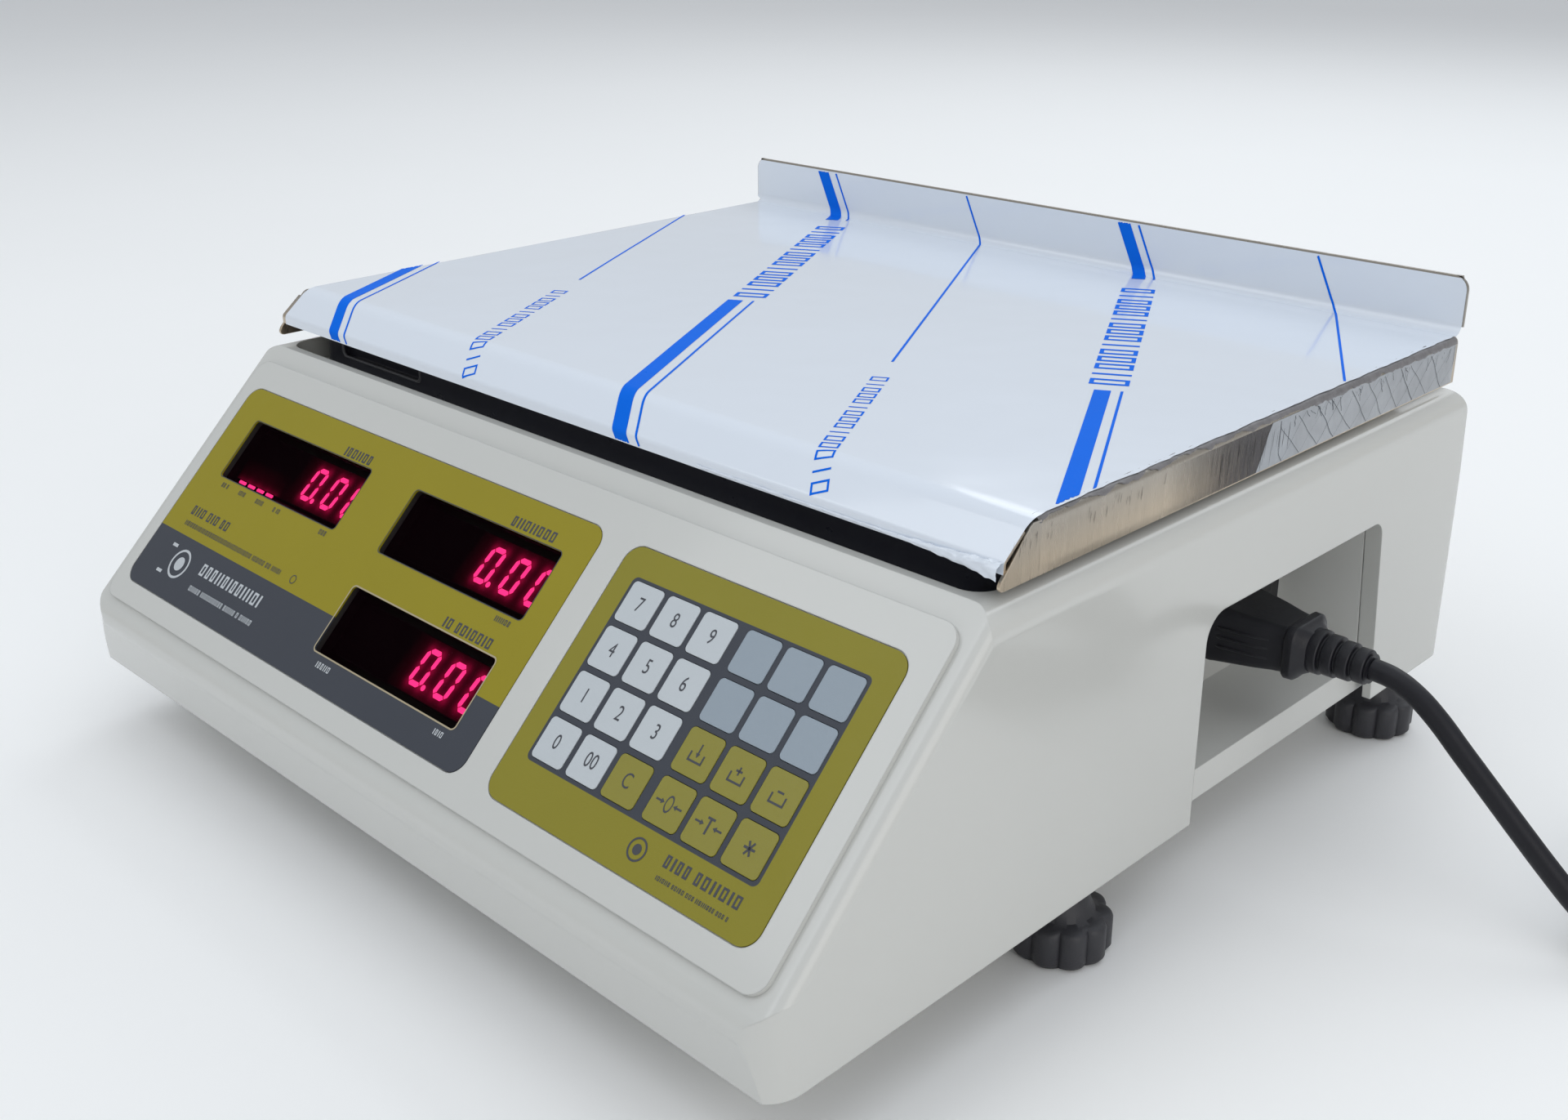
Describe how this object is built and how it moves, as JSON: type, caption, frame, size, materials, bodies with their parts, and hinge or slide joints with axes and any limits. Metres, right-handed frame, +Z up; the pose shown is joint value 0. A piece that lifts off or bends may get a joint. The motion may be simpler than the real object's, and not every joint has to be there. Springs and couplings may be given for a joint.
{
  "type": "price computing scale",
  "caption": "Retail counter scale with a lift-off steel platter, sloping price panel and keypad, rear customer display, screw feet and a detachable mains lead.",
  "frame": {"origin": "on the counter, under the middle of the housing", "axes": "+X to the operator's right, +Y from operator to customer, +Z up"},
  "size_m": [0.5523, 0.381, 0.1668],
  "materials": {
    "shell": "glossy",
    "shell_base": "satin",
    "overlay_print": "satin",
    "keypad_print": "satin",
    "keypad_backing": "matte",
    "display_window": "glossy",
    "led_black": "satin",
    "circuit_board": "satin",
    "zinc_steel": "satin",
    "stainless": "brushed",
    "film": "glossy",
    "support_black": "satin",
    "rubber": "matte",
    "cell_aluminium": "satin",
    "transformer_iron": "satin",
    "battery_case": "matte",
    "inlet_black": "satin",
    "level_vial": "glossy",
    "foot_black": "matte",
    "key_white": "satin",
    "key_blank": "satin",
    "key_olive": "satin",
    "cord_black": "satin",
    "plug_black": "satin"
  },
  "bodies": {
    "housing": {"top_cover": "shell", "base_housing": "shell_base", "display_overlay": "overlay_print", "keypad_overlay": "keypad_print", "keypad_base": "keypad_backing", "display_lens": "display_window", "led_modules": "led_black", "display_board": "circuit_board", "rear_overlay": "overlay_print", "rear_board": "circuit_board", "board_screws": "zinc_steel", "platter_support": "support_black", "support_pads": "rubber", "load_cell": "cell_aluminium", "load_cell_bolts": "zinc_steel", "main_board": "circuit_board", "transformer": "transformer_iron", "battery": "battery_case", "power_inlet": "inlet_black", "bubble_level": "level_vial", "housing_screws": "zinc_steel", "power_cord": "cord_black", "cord_coil": "cord_black", "cord_connector": "plug_black", "wall_plug": "plug_black"},
    "weighing_platter": {"platter": "stainless", "platter_film": "film"},
    "power_rocker": {"switch_rocker": "inlet_black"},
    "button_0": {"key_0": "key_white"},
    "button_00": {"key_00": "key_white"},
    "button_clear": {"key_clear": "key_olive"},
    "button_1": {"key_1": "key_white"},
    "button_2": {"key_2": "key_white"},
    "button_3": {"key_3": "key_white"},
    "button_4": {"key_4": "key_white"},
    "button_5": {"key_5": "key_white"},
    "button_6": {"key_6": "key_white"},
    "button_7": {"key_7": "key_white"},
    "button_8": {"key_8": "key_white"},
    "button_9": {"key_9": "key_white"},
    "button_zero": {"key_zero": "key_olive"},
    "button_tare": {"key_tare": "key_olive"},
    "button_star": {"key_star": "key_olive"},
    "button_save": {"key_save": "key_olive"},
    "button_mw": {"key_mw": "key_olive"},
    "button_mr": {"key_mr": "key_olive"},
    "button_f1": {"key_f1": "key_blank"},
    "button_f2": {"key_f2": "key_blank"},
    "button_f3": {"key_f3": "key_blank"},
    "button_f4": {"key_f4": "key_blank"},
    "button_f5": {"key_f5": "key_blank"},
    "button_f6": {"key_f6": "key_blank"},
    "leg_fl": {"foot_stud_fl": "zinc_steel"},
    "foot_fl": {"foot_knob_fl": "foot_black"},
    "leg_fr": {"foot_stud_fr": "zinc_steel"},
    "foot_fr": {"foot_knob_fr": "foot_black"},
    "leg_bl": {"foot_stud_bl": "zinc_steel"},
    "foot_bl": {"foot_knob_bl": "foot_black"},
    "leg_br": {"foot_stud_br": "zinc_steel"},
    "foot_br": {"foot_knob_br": "foot_black"}
  },
  "joints": [
    {"name": "platter_lift", "type": "slide", "parent": "housing", "child": "weighing_platter", "axis": [0, 0, 1], "range_m": [0, 0.06]},
    {"name": "power_switch", "type": "hinge", "parent": "housing", "child": "power_rocker", "pos_m": [0.139, 0.094, 0.067], "axis": [0, 0, 1], "range_deg": [-18, 0]},
    {"name": "press_0", "type": "slide", "parent": "housing", "child": "button_0", "axis": [0, 0.7071, -0.7071], "range_m": [0, 0.0004], "stiffness_N_per_m": 4000},
    {"name": "press_00", "type": "slide", "parent": "housing", "child": "button_00", "axis": [0, 0.7071, -0.7071], "range_m": [0, 0.0004], "stiffness_N_per_m": 4000},
    {"name": "press_clear", "type": "slide", "parent": "housing", "child": "button_clear", "axis": [0, 0.7071, -0.7071], "range_m": [0, 0.0004], "stiffness_N_per_m": 4000},
    {"name": "press_1", "type": "slide", "parent": "housing", "child": "button_1", "axis": [0, 0.7071, -0.7071], "range_m": [0, 0.0004], "stiffness_N_per_m": 4000},
    {"name": "press_2", "type": "slide", "parent": "housing", "child": "button_2", "axis": [0, 0.7071, -0.7071], "range_m": [0, 0.0004], "stiffness_N_per_m": 4000},
    {"name": "press_3", "type": "slide", "parent": "housing", "child": "button_3", "axis": [0, 0.7071, -0.7071], "range_m": [0, 0.0004], "stiffness_N_per_m": 4000},
    {"name": "press_4", "type": "slide", "parent": "housing", "child": "button_4", "axis": [0, 0.7071, -0.7071], "range_m": [0, 0.0004], "stiffness_N_per_m": 4000},
    {"name": "press_5", "type": "slide", "parent": "housing", "child": "button_5", "axis": [0, 0.7071, -0.7071], "range_m": [0, 0.0004], "stiffness_N_per_m": 4000},
    {"name": "press_6", "type": "slide", "parent": "housing", "child": "button_6", "axis": [0, 0.7071, -0.7071], "range_m": [0, 0.0004], "stiffness_N_per_m": 4000},
    {"name": "press_7", "type": "slide", "parent": "housing", "child": "button_7", "axis": [0, 0.7071, -0.7071], "range_m": [0, 0.0004], "stiffness_N_per_m": 4000},
    {"name": "press_8", "type": "slide", "parent": "housing", "child": "button_8", "axis": [0, 0.7071, -0.7071], "range_m": [0, 0.0004], "stiffness_N_per_m": 4000},
    {"name": "press_9", "type": "slide", "parent": "housing", "child": "button_9", "axis": [0, 0.7071, -0.7071], "range_m": [0, 0.0004], "stiffness_N_per_m": 4000},
    {"name": "press_zero", "type": "slide", "parent": "housing", "child": "button_zero", "axis": [0, 0.7071, -0.7071], "range_m": [0, 0.0004], "stiffness_N_per_m": 4000},
    {"name": "press_tare", "type": "slide", "parent": "housing", "child": "button_tare", "axis": [0, 0.7071, -0.7071], "range_m": [0, 0.0004], "stiffness_N_per_m": 4000},
    {"name": "press_star", "type": "slide", "parent": "housing", "child": "button_star", "axis": [0, 0.7071, -0.7071], "range_m": [0, 0.0004], "stiffness_N_per_m": 4000},
    {"name": "press_save", "type": "slide", "parent": "housing", "child": "button_save", "axis": [0, 0.7071, -0.7071], "range_m": [0, 0.0004], "stiffness_N_per_m": 4000},
    {"name": "press_mw", "type": "slide", "parent": "housing", "child": "button_mw", "axis": [0, 0.7071, -0.7071], "range_m": [0, 0.0004], "stiffness_N_per_m": 4000},
    {"name": "press_mr", "type": "slide", "parent": "housing", "child": "button_mr", "axis": [0, 0.7071, -0.7071], "range_m": [0, 0.0004], "stiffness_N_per_m": 4000},
    {"name": "press_f1", "type": "slide", "parent": "housing", "child": "button_f1", "axis": [0, 0.7071, -0.7071], "range_m": [0, 0.0004], "stiffness_N_per_m": 4000},
    {"name": "press_f2", "type": "slide", "parent": "housing", "child": "button_f2", "axis": [0, 0.7071, -0.7071], "range_m": [0, 0.0004], "stiffness_N_per_m": 4000},
    {"name": "press_f3", "type": "slide", "parent": "housing", "child": "button_f3", "axis": [0, 0.7071, -0.7071], "range_m": [0, 0.0004], "stiffness_N_per_m": 4000},
    {"name": "press_f4", "type": "slide", "parent": "housing", "child": "button_f4", "axis": [0, 0.7071, -0.7071], "range_m": [0, 0.0004], "stiffness_N_per_m": 4000},
    {"name": "press_f5", "type": "slide", "parent": "housing", "child": "button_f5", "axis": [0, 0.7071, -0.7071], "range_m": [0, 0.0004], "stiffness_N_per_m": 4000},
    {"name": "press_f6", "type": "slide", "parent": "housing", "child": "button_f6", "axis": [0, 0.7071, -0.7071], "range_m": [0, 0.0004], "stiffness_N_per_m": 4000},
    {"name": "foot_height_fl", "type": "slide", "parent": "housing", "child": "leg_fl", "axis": [0, 0, 1], "range_m": [-0.005, 0.003]},
    {"name": "foot_turn_fl", "type": "hinge", "parent": "leg_fl", "child": "foot_fl", "pos_m": [-0.162, -0.0415, 0.01], "axis": [0, 0, 1], "range_deg": [-1440, 864]},
    {"name": "foot_height_fr", "type": "slide", "parent": "housing", "child": "leg_fr", "axis": [0, 0, 1], "range_m": [-0.005, 0.003]},
    {"name": "foot_turn_fr", "type": "hinge", "parent": "leg_fr", "child": "foot_fr", "pos_m": [0.162, -0.0415, 0.01], "axis": [0, 0, 1], "range_deg": [-1440, 864]},
    {"name": "foot_height_bl", "type": "slide", "parent": "housing", "child": "leg_bl", "axis": [0, 0, 1], "range_m": [-0.005, 0.003]},
    {"name": "foot_turn_bl", "type": "hinge", "parent": "leg_bl", "child": "foot_bl", "pos_m": [-0.162, 0.1495, 0.01], "axis": [0, 0, 1], "range_deg": [-1440, 864]},
    {"name": "foot_height_br", "type": "slide", "parent": "housing", "child": "leg_br", "axis": [0, 0, 1], "range_m": [-0.005, 0.003]},
    {"name": "foot_turn_br", "type": "hinge", "parent": "leg_br", "child": "foot_br", "pos_m": [0.162, 0.1495, 0.01], "axis": [0, 0, 1], "range_deg": [-1440, 864]}
  ],
  "couplings": [
    {"joint": "foot_turn_fl", "follows": "foot_height_fl", "rad_per_m": 5026.5},
    {"joint": "foot_turn_fr", "follows": "foot_height_fr", "rad_per_m": 5026.5},
    {"joint": "foot_turn_bl", "follows": "foot_height_bl", "rad_per_m": 5026.5},
    {"joint": "foot_turn_br", "follows": "foot_height_br", "rad_per_m": 5026.5}
  ]
}
